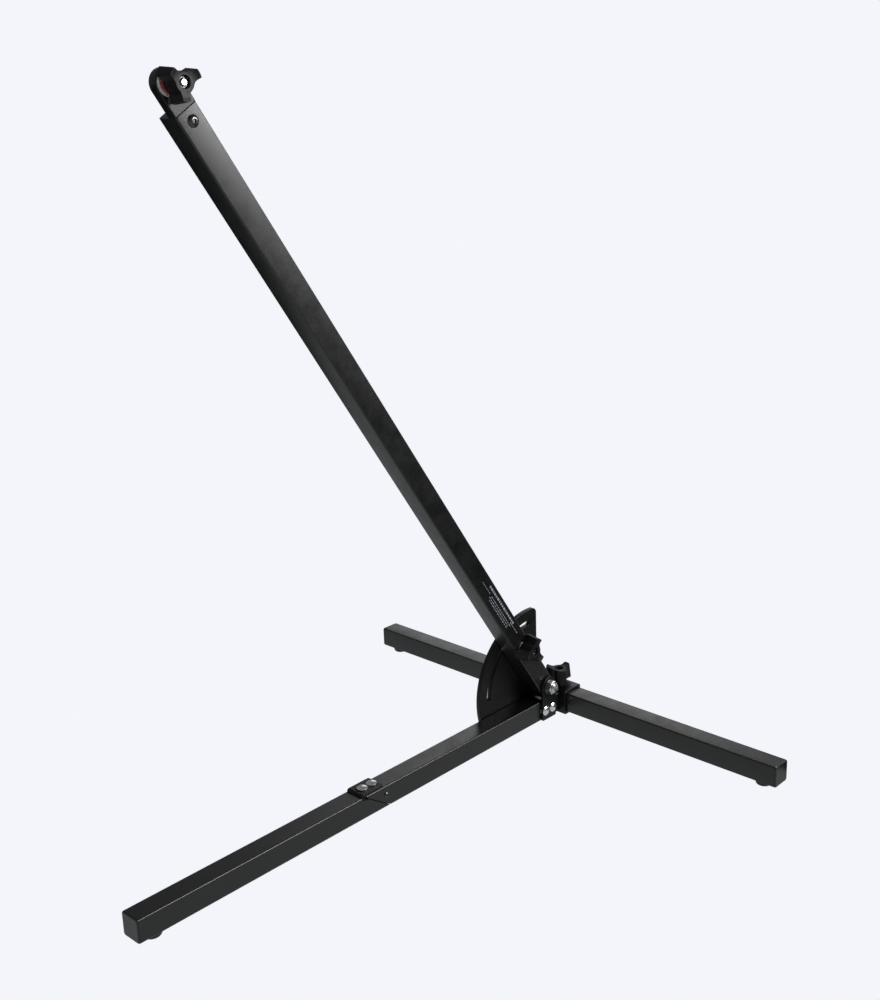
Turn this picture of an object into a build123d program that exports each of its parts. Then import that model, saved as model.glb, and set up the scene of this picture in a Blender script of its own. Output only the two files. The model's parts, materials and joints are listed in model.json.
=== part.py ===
"""Folding C-shaped studio stand: T base, tilting mast, toothed head with a knob.

Millimetres, +Z up, +X towards the foot of the leg, +Y along the crossbar.
The origin is on the floor, under the middle of the stand's bounding box.
Two working frames are used. The base frame has x from the crossbar's middle and
z from the underside of the tubes. The mast frame has z along the mast from its
pivot, and +X towards the mast's lower, front face.
"""
import os
from math import asin, cos, degrees, hypot, radians, sin

from build123d import *

# ---- tubes and overall size -------------------------------------------------
TUBE = 25.4             # outside of every square tube, one inch
WALL = 1.65
BORE = TUBE - 2 * WALL
CORNER = 1.6            # outside corner radius of a tube
LEG_REACH = 629.5       # crossbar's middle to the end of the leg, plug included
CROSSBAR_LENGTH = 637.0
BAR_SHIFT = 4.5         # crossbar's middle, towards +Y from its sleeve
MAST_ABOVE = 839.0      # pivot to the mast tube's upper end
MAST_BELOW = 11.5       # pivot to the mast tube's lower end
LEAN = 33.5             # mast's lean from upright, degrees
FOOT_HEIGHT = 6.5       # rubber feet hold the tubes this far off the floor

# ---- crossbar sleeve and its clamp ------------------------------------------
SLEEVE = 31.75          # outside of the square sleeve
SLEEVE_BORE = TUBE + 0.3
SLEEVE_LENGTH = 44.0
CLAMP_NUT_HEIGHT = 3.0

# ---- mast pivot and its side plates -----------------------------------------
PIVOT_X = 39.4          # base frame
PIVOT_Z = 43.2
PLATE = 3.2             # strap thickness
QUADRANT_PLATE = 6.0
SIDE_GAP = 0.5          # thin washers between the tubes and the side plates
PLATE_FACE = TUBE / 2 + SIDE_GAP
STRAP_OUTSIDE = PLATE_FACE + PLATE
QUADRANT_OUTSIDE = PLATE_FACE + QUADRANT_PLATE
PIVOT_BOLT = 9.5        # bolt diameters
CLAMP_BOLT = 7.9
SMALL_BOLT = 6.35
BUSH_R = 6.35
RUNNING = 0.05          # radial clearance of what turns

QUADRANT_R = 95.5
QUADRANT_REAR = 11.5    # rear edge of the quadrant, behind the pivot
SLOT_R = 79.0
SLOT_WIDTH = 6.7
SLOT_FIRST = 2.3        # slot's middle line, degrees up from level
SLOT_SWEEP = 84.6
STRAP_WIDTH = 25.4
BASE_BOLT_SPACING = 13.6

# ---- leg's fold joint -------------------------------------------------------
FOLD_X = 347.5          # hinge line, base frame, level with the top of the tube
CUT_RUN = 38.0          # how far the slanted cut runs back over the tube's height
CUT_GAP = 1.6
KNUCKLE_R = 3.2
HINGE_PIN_R = 1.6
LEAF_LENGTH = 28.5
HINGE_SCREW_R = 6.2
HINGE_SCREW_SPACING = 13.5
CATCH_SCREW_X = 315.5
CATCH_SCREW_Z = 14.5

# ---- head -------------------------------------------------------------------
HEAD_UP = 26.0          # mast tube's end to the middle of the round head
HEAD_R = TUBE / 2
HEAD_THICK = 11.0
RING_R = 12.0
RING_TEETH = 30
RING_BASE = 1.4
TOOTH = 0.9
WASHER_R = 10.3
WASHER_THICK = 2.6
HEAD_SCREW_DOWN = 11.2  # mast tube's end down to the head block's screws

# ---- three-lobed knobs ------------------------------------------------------
LOBE_TIP = 19.5
LOBE_TIP_AT_TOP = 17.0  # lobes taper in towards the top
LOBE_R = 5.6
WAIST_R = 9.2
KNOB_HEIGHT = 17.5      # at the hub
LOBE_BOTTOM = 0.6
LOBE_TOP = 20.4         # at the lobes' tips
DISH_R = 67.0           # the top is hollow, lowest at the hub
NECK_R = 9.0
RECESS_R = 5.2
RECESS_DEPTH = 3.0
INSERT_R = 4.9
HEAD_KNOB_TURN = 54.0
TILT_KNOB_TURN = 95.0
CROSSBAR_KNOB_TURN = 58.0

# ---- feet -------------------------------------------------------------------
FOOT_R = 10.2
FOOT_INSET = 22.0
PLUG_FLANGE = 1.5
PLUG_DEPTH = 12.0

# The knob over the crossbar reaches furthest back, so it sets the middle of the box.
REAR_REACH = (LOBE_TIP - LOBE_R) * cos(radians(CROSSBAR_KNOB_TURN + 120 - 180)) + LOBE_R
BASE = Pos((REAR_REACH - LEG_REACH) / 2, -BAR_SHIFT, FOOT_HEIGHT)
BAR = BASE * Pos(0, BAR_SHIFT, 0)
PIVOT = BASE * Pos(PIVOT_X, 0, PIVOT_Z)
MAST = PIVOT * Rot(0, LEAN, 0)
HEAD = MAST * Pos(0, 0, MAST_ABOVE + HEAD_UP)
FACING_Y = Rot(-90, 0, 0)       # turns an axis along +Z to lie along +Y
FACING_MINUS_Y = Rot(90, 0, 0)
ALONG_X = Rot(0, 90, 0)

parts = {}


def add(name, *solids):
    """Store one named piece, or a group of like pieces, for export."""
    parts[name] = solids[0] if len(solids) == 1 else Compound(children=list(solids))


def rod(radius, start, end):
    """Round bar about the local Z axis."""
    return Pos(0, 0, start) * extrude(Circle(radius), end - start)


def ring(outer, inner, start, end):
    return rod(outer, start, end) - rod(inner, start - 1, end + 1)


def across(x, z, radius, reach=40.0):
    """Drill along Y through the point (x, z)."""
    return Pos(x, -reach, z) * FACING_Y * rod(radius, 0, 2 * reach)


def square_tube(length, outside=TUBE, inside=BORE, corner=CORNER):
    """Square tube along the local Z axis, from z = 0."""
    outer = extrude(RectangleRounded(outside, outside, corner), length)
    inner_corner = max(corner - (outside - inside) / 2, 0.4)
    return outer - Pos(0, 0, -1) * extrude(RectangleRounded(inside, inside, inner_corner), length + 2)


def hexagon_nut(across_flats, bore, start, end):
    nut = Pos(0, 0, start) * extrude(RegularPolygon(across_flats / 2, 6, major_radius=False), end - start)
    crown = Pos(0, 0, start) * Cone(across_flats * 0.72, across_flats * 0.44, (end - start) * 1.25,
                                    align=(Align.CENTER, Align.CENTER, Align.MIN))
    return nut & crown - rod(bore, start - 1, end + 1)


def domed_head(radius, height):
    """Low round screw head standing on z = 0."""
    sphere_r = (radius ** 2 + height ** 2) / (2 * height)
    return Pos(0, 0, height - sphere_r) * Sphere(sphere_r) & rod(radius, 0, height + 1)


def socket_screw(shank_r, shank_length, head_r, head_height):
    """Button-head screw: head above z = 0 with a hexagon socket, shank below."""
    socket = Pos(0, 0, head_height * 0.35) * extrude(RegularPolygon(head_r * 0.36, 6), head_height)
    return domed_head(head_r, head_height) + rod(shank_r, -shank_length, 0.2) - socket


# ---- crossbar ---------------------------------------------------------------
def end_plug():
    """Plastic plug: flange over the tube's end at z = 0, ribs filling the bore."""
    flange = extrude(RectangleRounded(TUBE, TUBE, CORNER + 0.6), PLUG_FLANGE)
    body = Pos(0, 0, -PLUG_DEPTH) * extrude(RectangleRounded(BORE - 0.1, BORE - 0.1, 1.2), PLUG_DEPTH)
    hollow = Pos(0, 0, -PLUG_DEPTH - 1) * extrude(Rectangle(BORE - 5, BORE - 5), PLUG_DEPTH - 1)
    return fillet(flange.faces().sort_by(Axis.Z)[-1].edges(), 0.7) + body - hollow


def foot_pad():
    """Rubber foot under a tube: top at z = 0, with a counterbore for its screw."""
    pad = Cone(FOOT_R - 1.2, FOOT_R, FOOT_HEIGHT, align=(Align.CENTER, Align.CENTER, Align.MAX))
    pad = fillet(pad.faces().sort_by(Axis.Z)[0].edges(), 1.8)
    return pad - rod(2.05, -FOOT_HEIGHT - 1, 1) - rod(4.2, -FOOT_HEIGHT - 1, -3.2)


def foot_screw():
    """Pan-head screw, from inside the foot's counterbore up through the tube's wall."""
    return rod(4.0, -5.6, -3.2) + rod(2.0, -3.3, 6.0)


def crossbar_pieces():
    tube_length = CROSSBAR_LENGTH - 2 * PLUG_FLANGE
    foot_y = CROSSBAR_LENGTH / 2 - FOOT_INSET
    tube = Pos(0, -tube_length / 2, TUBE / 2) * FACING_Y * square_tube(tube_length)
    feet, screws, plugs = [], [], []
    for side, facing in ((1, FACING_Y), (-1, FACING_MINUS_Y)):
        tube -= Pos(0, side * foot_y, 0) * rod(2.05, -1, 4)
        feet.append(BAR * Pos(0, side * foot_y, 0) * foot_pad())
        screws.append(BAR * Pos(0, side * foot_y, 0) * foot_screw())
        plugs.append(BAR * Pos(0, side * tube_length / 2, TUBE / 2) * facing * end_plug())
    add("crossbar_tube", BAR * tube)
    add("crossbar_end_plugs", *plugs)
    add("crossbar_feet", *feet)
    add("crossbar_foot_screws", *screws)


def sleeve_pieces():
    top = TUBE / 2 + SLEEVE / 2
    sleeve = Pos(0, -SLEEVE_LENGTH / 2, TUBE / 2) * FACING_Y * square_tube(
        SLEEVE_LENGTH, SLEEVE, SLEEVE_BORE, 2.4)
    sleeve -= rod(CLAMP_BOLT / 2 + RUNNING, TUBE / 2, top + 1)
    add("crossbar_sleeve", BASE * sleeve)
    add("sleeve_clamp_nut", BASE * ring(8.0, CLAMP_BOLT / 2 + RUNNING, top, top + CLAMP_NUT_HEIGHT))


# ---- leg --------------------------------------------------------------------
def beyond_cut(gap):
    """Everything on the foot side of the slanted cut, moved off it by gap."""
    slope = degrees(asin(CUT_RUN / hypot(CUT_RUN, TUBE)))
    half = 200.0
    block = Box(half, TUBE * 2, 2 * half, align=(Align.MIN, Align.CENTER, Align.CENTER))
    return Pos(FOLD_X, 0, TUBE) * Rot(0, slope, 0) * Pos(gap, 0, 0) * block


def knuckle_room():
    return Pos(FOLD_X, 0, TUBE) * FACING_Y * rod(KNUCKLE_R + 0.4, -TUBE, TUBE)


def bore_block(start, end, clearance):
    side = BORE - clearance
    return Pos(start, 0, TUBE / 2) * Box(end - start, side, side, align=(Align.MIN, Align.CENTER, Align.CENTER))


def leg_inner_pieces():
    start = SLEEVE / 2
    tube = Pos(start, 0, TUBE / 2) * ALONG_X * square_tube(FOLD_X - start + 5)
    tube -= beyond_cut(-CUT_GAP / 2)
    tube -= knuckle_room()
    for x in base_bolt_places():
        tube -= across(x, TUBE / 2, SMALL_BOLT / 2 + RUNNING)
    for x in hinge_screw_places():
        tube -= Pos(x, 0, TUBE) * rod(2.55, -6, 2)
    tube -= across(CATCH_SCREW_X, CATCH_SCREW_Z, 2.05)
    add("leg_inner_tube", BASE * tube)

    catch = bore_block(CATCH_SCREW_X - 14, CATCH_SCREW_X + 22, 0.3) - beyond_cut(-11.0)
    catch -= across(CATCH_SCREW_X, CATCH_SCREW_Z, 2.05)
    for x in hinge_screw_places():
        catch -= Pos(x, 0, TUBE) * rod(2.55, -8, 2)
    add("leg_catch_block", BASE * catch)
    screw = socket_screw(2.0, 9.0, 3.5, 2.0)
    sides = ((TUBE / 2, FACING_Y), (-TUBE / 2, FACING_MINUS_Y))
    add("leg_catch_screws", *[BASE * Pos(CATCH_SCREW_X, y, CATCH_SCREW_Z) * turn * screw for y, turn in sides])


def hinge_screw_places():
    first = FOLD_X - KNUCKLE_R - HINGE_SCREW_R + 0.8
    return [first, first - HINGE_SCREW_SPACING]


def knuckle(start, end):
    barrel = ring(KNUCKLE_R, HINGE_PIN_R + RUNNING, start, end)
    return Pos(FOLD_X, 0, TUBE) * FACING_Y * barrel


def hinge_pieces():
    """Butt hinge on top of the leg: two outer knuckles on the inner leaf, one between."""
    outer_y, inner_y = TUBE / 2 - 0.7, 4.3
    leaf = Pos(FOLD_X - LEAF_LENGTH, 0, TUBE) * Box(LEAF_LENGTH, 2 * outer_y, KNUCKLE_R,
                                                    align=(Align.MIN, Align.CENTER, Align.MIN))
    leaf -= Pos(FOLD_X, 0, TUBE) * FACING_Y * rod(HINGE_PIN_R + RUNNING, -TUBE, TUBE)
    leaf -= Pos(FOLD_X, 0, TUBE) * FACING_Y * rod(KNUCKLE_R + 0.3, -inner_y, inner_y)
    leaf += knuckle(-outer_y, -inner_y) + knuckle(inner_y, outer_y)
    for x in hinge_screw_places():
        leaf -= Pos(x, 0, TUBE) * rod(2.55, -1, 6)
    add("leg_hinge_inner_leaf", BASE * leaf)

    tongue_y = inner_y - 0.15
    reach = 26.0
    inside_top = TUBE - WALL
    outer_leaf = Pos(FOLD_X + KNUCKLE_R, 0, inside_top) * Box(
        reach, 2 * tongue_y, 2.4, align=(Align.MIN, Align.CENTER, Align.MAX))
    web = Pos(FOLD_X, 0, inside_top) * Box(KNUCKLE_R + 4, 2 * tongue_y, 2.4,
                                           align=(Align.MIN, Align.CENTER, Align.MAX))
    web -= Pos(FOLD_X, 0, TUBE) * FACING_Y * rod(HINGE_PIN_R + RUNNING, -TUBE, TUBE)
    add("leg_hinge_outer_leaf", BASE * (knuckle(-tongue_y, tongue_y) + web + outer_leaf))

    pin = Pos(FOLD_X, 0, TUBE) * FACING_Y * rod(HINGE_PIN_R, -outer_y, outer_y)
    add("leg_hinge_pin", BASE * pin)
    screw = domed_head(HINGE_SCREW_R, 3.0) + rod(2.5, -8.0, 0.2)
    screws = [BASE * Pos(x, 0, TUBE + KNUCKLE_R) * screw for x in hinge_screw_places()]
    add("leg_hinge_screws", *screws)


def leg_outer_pieces():
    tube_end = LEG_REACH - PLUG_FLANGE
    foot_x = LEG_REACH - FOOT_INSET
    start = FOLD_X - CUT_RUN - 5
    tube = Pos(start, 0, TUBE / 2) * ALONG_X * square_tube(tube_end - start)
    tube &= beyond_cut(CUT_GAP / 2) + Pos(tube_end, 0, 0) * Box(400, 60, 80)
    tube -= knuckle_room()
    tube -= Pos(foot_x, 0, 0) * rod(2.05, -1, 4)
    add("leg_outer_tube", BASE * tube)

    add("leg_end_plug", BASE * Pos(tube_end, 0, TUBE / 2) * ALONG_X * end_plug())
    add("leg_foot", BASE * Pos(foot_x, 0, 0) * foot_pad())
    add("leg_foot_screw", BASE * Pos(foot_x, 0, 0) * foot_screw())


# ---- pivot plates -----------------------------------------------------------
def base_bolt_places():
    return [PIVOT_X - BASE_BOLT_SPACING / 2, PIVOT_X + BASE_BOLT_SPACING / 2]


def quadrant():
    """Quadrant in the XZ plane about the pivot, drawn flat with y up for z."""
    rear = -QUADRANT_REAR
    bottom = 1.0 - PIVOT_Z
    disc = Circle(QUADRANT_R)
    window = Pos((QUADRANT_R + rear) / 2, (QUADRANT_R + bottom) / 2) * Rectangle(
        QUADRANT_R - rear, QUADRANT_R - bottom)
    shape = disc & window
    shape = fillet(shape.vertices().group_by(Axis.X)[0], 7.0)
    slot = SlotArc(CenterArc((0, 0), SLOT_R, SLOT_FIRST, SLOT_SWEEP), SLOT_WIDTH)
    return extrude(shape - slot, QUADRANT_PLATE)


def side_plate_pieces():
    plate = Pos(0, -PLATE_FACE, 0) * Rot(90, 0, 0) * quadrant()
    plate = Pos(PIVOT_X, 0, PIVOT_Z) * plate
    strap = Pos(PIVOT_X, PLATE_FACE, PIVOT_Z) * FACING_Y * rod(STRAP_WIDTH / 2, 0, PLATE)
    strap += Pos(PIVOT_X, PLATE_FACE, 0.3) * Box(STRAP_WIDTH, PLATE, PIVOT_Z - 0.3,
                                                 align=(Align.CENTER, Align.MIN, Align.MIN))
    washers = []
    for x in base_bolt_places():
        drill = across(x, TUBE / 2, SMALL_BOLT / 2 + RUNNING)
        plate -= drill
        strap -= drill
        for start in (TUBE / 2, -PLATE_FACE):
            washers.append(Pos(x, 0, TUBE / 2) * FACING_Y * ring(
                6.2, SMALL_BOLT / 2 + RUNNING, start, start + SIDE_GAP))
    pivot_drill = across(PIVOT_X, PIVOT_Z, PIVOT_BOLT / 2 + RUNNING)
    add("quadrant_plate", BASE * (plate - pivot_drill))
    add("strap_bracket", BASE * (strap - pivot_drill))
    add("base_bolt_washers", *[BASE * washer for washer in washers])

    bolt = domed_head(6.1, 3.0) + rod(SMALL_BOLT / 2, -STRAP_OUTSIDE - QUADRANT_OUTSIDE - 6.5, 0.2)
    bolts = [BASE * Pos(x, STRAP_OUTSIDE, TUBE / 2) * FACING_Y * bolt for x in base_bolt_places()]
    nut = hexagon_nut(11.1, SMALL_BOLT / 2, 0, 5.5)
    nuts = [BASE * Pos(x, -QUADRANT_OUTSIDE, TUBE / 2) * FACING_MINUS_Y * nut for x in base_bolt_places()]
    add("base_bolts", *bolts)
    add("base_nuts", *nuts)


def pivot_pieces():
    washer = 1.6
    back = -QUADRANT_OUTSIDE - washer
    front = STRAP_OUTSIDE + washer
    bolt_r = PIVOT_BOLT / 2
    head = hexagon_nut(14.3, 0.01, back - 6.2, back)
    bolt = rod(bolt_r, back - 6.2, front + 9.5) + head
    add("pivot_bolt", PIVOT * FACING_Y * bolt)
    add("pivot_nut", PIVOT * FACING_Y * hexagon_nut(14.3, bolt_r + 0.02, front, front + 8.0))
    washers = [ring(9.8, bolt_r + RUNNING, start, start + washer) for start in (STRAP_OUTSIDE, back)]
    add("pivot_washers", *[PIVOT * FACING_Y * piece for piece in washers])
    add("pivot_bush", PIVOT * FACING_Y * ring(BUSH_R, bolt_r + RUNNING, -PLATE_FACE, PLATE_FACE))
    gap = SIDE_GAP - 0.06
    discs = [ring(10.5, BUSH_R + RUNNING, start, start + gap) for start in (TUBE / 2 + 0.03, -PLATE_FACE + 0.03)]
    add("friction_washers", *[PIVOT * FACING_Y * disc for disc in discs])


# ---- mast -------------------------------------------------------------------
def mast_pieces():
    tube = Pos(0, 0, -MAST_BELOW) * square_tube(MAST_ABOVE + MAST_BELOW)
    tube -= across(0, 0, BUSH_R + RUNNING)
    tube -= across(0, SLOT_R, SMALL_BOLT / 2 + RUNNING)
    tube -= across(0, MAST_ABOVE - HEAD_SCREW_DOWN, 3.25)
    add("mast_tube", MAST * tube)

    clamp = MAST * Pos(0, 0, SLOT_R) * FACING_Y
    bolt_r = SMALL_BOLT / 2
    plate_back = -QUADRANT_OUTSIDE
    add("tilt_crush_tube", clamp * ring(6.3, bolt_r + RUNNING, -BORE / 2, BORE / 2))
    head = Pos(0, 0, plate_back - 1.95) * Rot(180, 0, 0) * domed_head(8.5, 3.6)
    bolt = rod(bolt_r, plate_back - 2.0, TUBE / 2 + 17.5) + head
    add("tilt_bolt", clamp * bolt)
    add("tilt_slot_washer", clamp * ring(9.5, bolt_r + RUNNING, plate_back - 1.9, plate_back - 0.1))
    add("tilt_spacer", clamp * ring(8.0, bolt_r + RUNNING, -TUBE / 2 - 0.44, -TUBE / 2))
    add("tilt_knob_washer", clamp * ring(9.2, bolt_r + RUNNING, TUBE / 2, TUBE / 2 + 1.6))


# ---- head -------------------------------------------------------------------
def head_pieces():
    rise = MAST_ABOVE + HEAD_UP
    blade = Pos(0, TUBE / 2 - HEAD_THICK, rise) * FACING_Y * rod(HEAD_R, 0, HEAD_THICK)
    blade += Pos(0, TUBE / 2, MAST_ABOVE) * Box(TUBE, HEAD_THICK, HEAD_UP,
                                                align=(Align.CENTER, Align.MAX, Align.MIN))
    spigot = Pos(0, 0, MAST_ABOVE - 32) * extrude(RectangleRounded(BORE - 0.15, BORE - 0.15, 1.0), 32)
    block = blade + spigot
    block -= across(0, rise, SMALL_BOLT / 2 + 0.02)
    block -= across(0, MAST_ABOVE - HEAD_SCREW_DOWN, 2.95)
    add("head_block", MAST * block)
    screw = socket_screw(2.9, 9.0, 5.7, 3.2)
    sides = ((TUBE / 2, FACING_Y), (-TUBE / 2, FACING_MINUS_Y))
    place = MAST * Pos(0, 0, MAST_ABOVE - HEAD_SCREW_DOWN)
    add("head_screws", *[place * Pos(0, y, 0) * turn * screw for y, turn in sides])

    axis = HEAD * FACING_Y
    face = TUBE / 2
    add("toothed_ring", axis * Pos(0, 0, face) * toothed_ring())
    washer_start = face + RING_BASE + TOOTH
    add("red_washer", axis * ring(WASHER_R, SMALL_BOLT / 2 + RUNNING, washer_start, washer_start + WASHER_THICK))
    back = face - HEAD_THICK
    stud_end = washer_start + WASHER_THICK + 0.2 + KNOB_HEIGHT - 1.2
    head = hexagon_nut(11.1, 0.01, back - 4.2, back)
    add("head_bolt", axis * (rod(SMALL_BOLT / 2, back - 4.2, stud_end) + head))


def toothed_ring():
    """Disc with radial teeth on its face, standing on z = 0."""
    disc = ring(RING_R, SMALL_BOLT / 2 + RUNNING, 0, RING_BASE)
    tooth_width = 2 * RING_R * sin(radians(90 / RING_TEETH)) * 1.15
    tooth = Pos(RING_R - 4.6, 0, RING_BASE - 0.1) * Box(4.4, tooth_width, TOOTH + 0.1,
                                                        align=(Align.MIN, Align.CENTER, Align.MIN))
    for i in range(RING_TEETH):
        disc += Rot(0, 0, i * 360 / RING_TEETH) * tooth
    return disc


# ---- knobs ------------------------------------------------------------------
def lobe_outline():
    """Three round lobes joined by hollow flanks, every arc tangent to the next."""
    lobe_at = LOBE_TIP - LOBE_R
    hollow_r = (lobe_at ** 2 + WAIST_R ** 2 - lobe_at * WAIST_R - LOBE_R ** 2) / (
        lobe_at + 2 * LOBE_R - 2 * WAIST_R)
    hollow_at = WAIST_R + hollow_r
    corners, lobes, hollows = [], [], []
    for turn in (0, 120, 240):
        lobe = Vector(lobe_at, 0, 0).rotate(Axis.Z, turn)
        for side in (-60, 60):
            hollow = Vector(hollow_at, 0, 0).rotate(Axis.Z, turn + side)
            corners.append(lobe + (hollow - lobe).normalized() * LOBE_R)
        lobes.append(Pos(lobe) * Circle(LOBE_R))
        hollows.append(Pos(Vector(hollow_at, 0, 0).rotate(Axis.Z, turn + 60)) * Circle(hollow_r))
    core = Polygon(*[(c.X, c.Y) for c in corners], align=None)
    return core + lobes - hollows


def knob_body(bore_r):
    """Knob about the local Z axis, its neck standing on z = 0."""
    lobes = Pos(0, 0, LOBE_BOTTOM) * extrude(lobe_outline(), LOBE_TOP - LOBE_BOTTOM)
    lobes &= Pos(0, 0, LOBE_BOTTOM) * Cone(LOBE_TIP + 0.3, LOBE_TIP_AT_TOP, LOBE_TOP - LOBE_BOTTOM,
                                           align=(Align.CENTER, Align.CENTER, Align.MIN))
    lobes -= Pos(0, 0, KNOB_HEIGHT + DISH_R) * Sphere(DISH_R)
    body = lobes + rod(NECK_R, 0, LOBE_BOTTOM + 1)
    body -= rod(RECESS_R, KNOB_HEIGHT - RECESS_DEPTH, KNOB_HEIGHT + 1)
    return body - rod(bore_r, -1, KNOB_HEIGHT)


def female_knob(name, place, turn, stud_r):
    """Knob with a steel threaded insert, turning on a bolt that stays still."""
    seat = place * Rot(0, 0, turn)
    add(name, seat * knob_body(INSERT_R))
    add(name + "_insert", seat * ring(INSERT_R, stud_r + RUNNING, 0, KNOB_HEIGHT - RECESS_DEPTH))


def knob_pieces():
    tilt = MAST * Pos(0, 0, SLOT_R) * FACING_Y * Pos(0, 0, TUBE / 2 + 1.7)
    female_knob("tilt_knob", tilt, TILT_KNOB_TURN, SMALL_BOLT / 2)
    head_face = TUBE / 2 + RING_BASE + TOOTH + WASHER_THICK + 0.1
    female_knob("head_knob", HEAD * FACING_Y * Pos(0, 0, head_face), HEAD_KNOB_TURN, SMALL_BOLT / 2)

    nut_top = TUBE / 2 + SLEEVE / 2 + CLAMP_NUT_HEIGHT
    clamp = BASE * Pos(0, 0, nut_top + 0.6)
    add("crossbar_knob", clamp * Rot(0, 0, CROSSBAR_KNOB_TURN) * knob_body(INSERT_R + 0.02))
    screw_down = nut_top + 0.6 - TUBE - 0.25
    screw = rod(CLAMP_BOLT / 2, -screw_down, 1.0) + rod(INSERT_R, 0, KNOB_HEIGHT - RECESS_DEPTH)
    add("crossbar_clamp_screw", clamp * screw)


def build():
    crossbar_pieces()
    sleeve_pieces()
    leg_inner_pieces()
    hinge_pieces()
    leg_outer_pieces()
    side_plate_pieces()
    pivot_pieces()
    mast_pieces()
    head_pieces()
    knob_pieces()


build()
os.makedirs("parts", exist_ok=True)
for node, shape in parts.items():
    export_step(shape, f"parts/{node}.step")
whole = Compound(children=list(parts.values())).bounding_box()
print(f"{len(parts)} nodes, box {tuple(whole.min)} to {tuple(whole.max)}")
print("pivot", tuple(PIVOT.position), "head", tuple(HEAD.position))
print("fold", tuple((BASE * Pos(FOLD_X, 0, TUBE)).position), "bar", tuple(BASE.position))
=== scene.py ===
"""Folding T-base studio stand: black square tube, tilting mast, toothed head and three-lobed knobs."""
import json
import math

import bpy
from mathutils import Matrix, Vector


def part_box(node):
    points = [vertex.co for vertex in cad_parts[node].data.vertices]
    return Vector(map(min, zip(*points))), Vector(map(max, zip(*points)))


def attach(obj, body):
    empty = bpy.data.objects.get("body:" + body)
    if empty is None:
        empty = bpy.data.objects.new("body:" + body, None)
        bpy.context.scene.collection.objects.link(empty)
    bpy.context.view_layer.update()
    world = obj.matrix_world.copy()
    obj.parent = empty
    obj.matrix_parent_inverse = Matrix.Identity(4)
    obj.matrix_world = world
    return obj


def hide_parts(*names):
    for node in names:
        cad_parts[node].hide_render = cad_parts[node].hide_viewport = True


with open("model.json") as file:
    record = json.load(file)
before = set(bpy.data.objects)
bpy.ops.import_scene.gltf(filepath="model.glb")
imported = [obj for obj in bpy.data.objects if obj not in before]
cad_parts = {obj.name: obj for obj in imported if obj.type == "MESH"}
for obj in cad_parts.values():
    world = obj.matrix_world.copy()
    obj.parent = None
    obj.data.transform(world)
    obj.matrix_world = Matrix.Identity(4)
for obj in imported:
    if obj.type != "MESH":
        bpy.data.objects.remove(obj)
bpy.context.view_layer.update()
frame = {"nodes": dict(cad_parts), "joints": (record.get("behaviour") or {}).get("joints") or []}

MM = 0.001
TAU = 2 * math.pi
JOINTS = {joint["name"]: joint for joint in frame["joints"]}
PIVOT = Vector(JOINTS["mast_tilt"]["pos_m"])
FOLD = Vector(JOINTS["leg_fold"]["pos_m"])
HEAD_AT = Vector(JOINTS["head_knob_turn"]["pos_m"])
TILT_AT = Vector(JOINTS["tilt_knob_turn"]["pos_m"])
BAR_AT = Vector(JOINTS["crossbar_knob_turn"]["pos_m"])
LEAN = math.atan2(HEAD_AT.x - PIVOT.x, HEAD_AT.z - PIVOT.z)


# ---- places -----------------------------------------------------------------
def at(x=0.0, y=0.0, z=0.0):
    """Shift, in millimetres."""
    return Matrix.Translation(Vector((x, y, z)) * MM)


def turned(degrees, axis):
    return Matrix.Rotation(math.radians(degrees), 4, axis)


SCALE = Matrix.Diagonal((MM, MM, MM, 1.0))
FACING_Y = turned(-90, "X")
FACING_MINUS_Y = turned(90, "X")
ALONG_X = turned(90, "Y")
BASE = Matrix.Translation(BAR_AT)
BAR = Matrix.Translation((BAR_AT.x, 0.0, BAR_AT.z))
PIVOT_PLACE = Matrix.Translation(PIVOT)
MAST = PIVOT_PLACE @ Matrix.Rotation(LEAN, 4, "Y")
HEAD = Matrix.Translation(HEAD_AT) @ Matrix.Rotation(LEAN, 4, "Y")
TILT = Matrix.Translation(TILT_AT) @ Matrix.Rotation(LEAN, 4, "Y")

# ---- sizes, mm, as in the CAD model -------------------------------------------
TUBE = 25.4
WALL = 1.65
CORNER = 1.6
SLEEVE = 31.75
PLATE = 3.2
PLATE_FACE = 13.2
STRAP_OUTSIDE = PLATE_FACE + PLATE
QUADRANT_PLATE = 6.0
QUADRANT_OUTSIDE = PLATE_FACE + QUADRANT_PLATE
PIVOT_X = (PIVOT.x - BAR_AT.x) / MM
PIVOT_Z = (PIVOT.z - BAR_AT.z) / MM
FOLD_X = (FOLD.x - BAR_AT.x) / MM
SLOT_R = (TILT_AT - PIVOT).length / MM
SLOT_WIDTH = 6.7
SLOT_FOOT, SLOT_HEAD = 2.3, 86.9        # degrees round from the leg
MAST_ABOVE = (HEAD_AT - PIVOT).length / MM - 26.0
MAST_BELOW = 11.5
LEG_REACH = (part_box("leg_end_plug")[1][0] - BAR_AT.x) / MM
BAR_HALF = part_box("crossbar_end_plugs")[1][1] / MM
CUT_RUN = 38.0
FOOT_INSET = 22.0
STUD_R = 3.15


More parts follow.
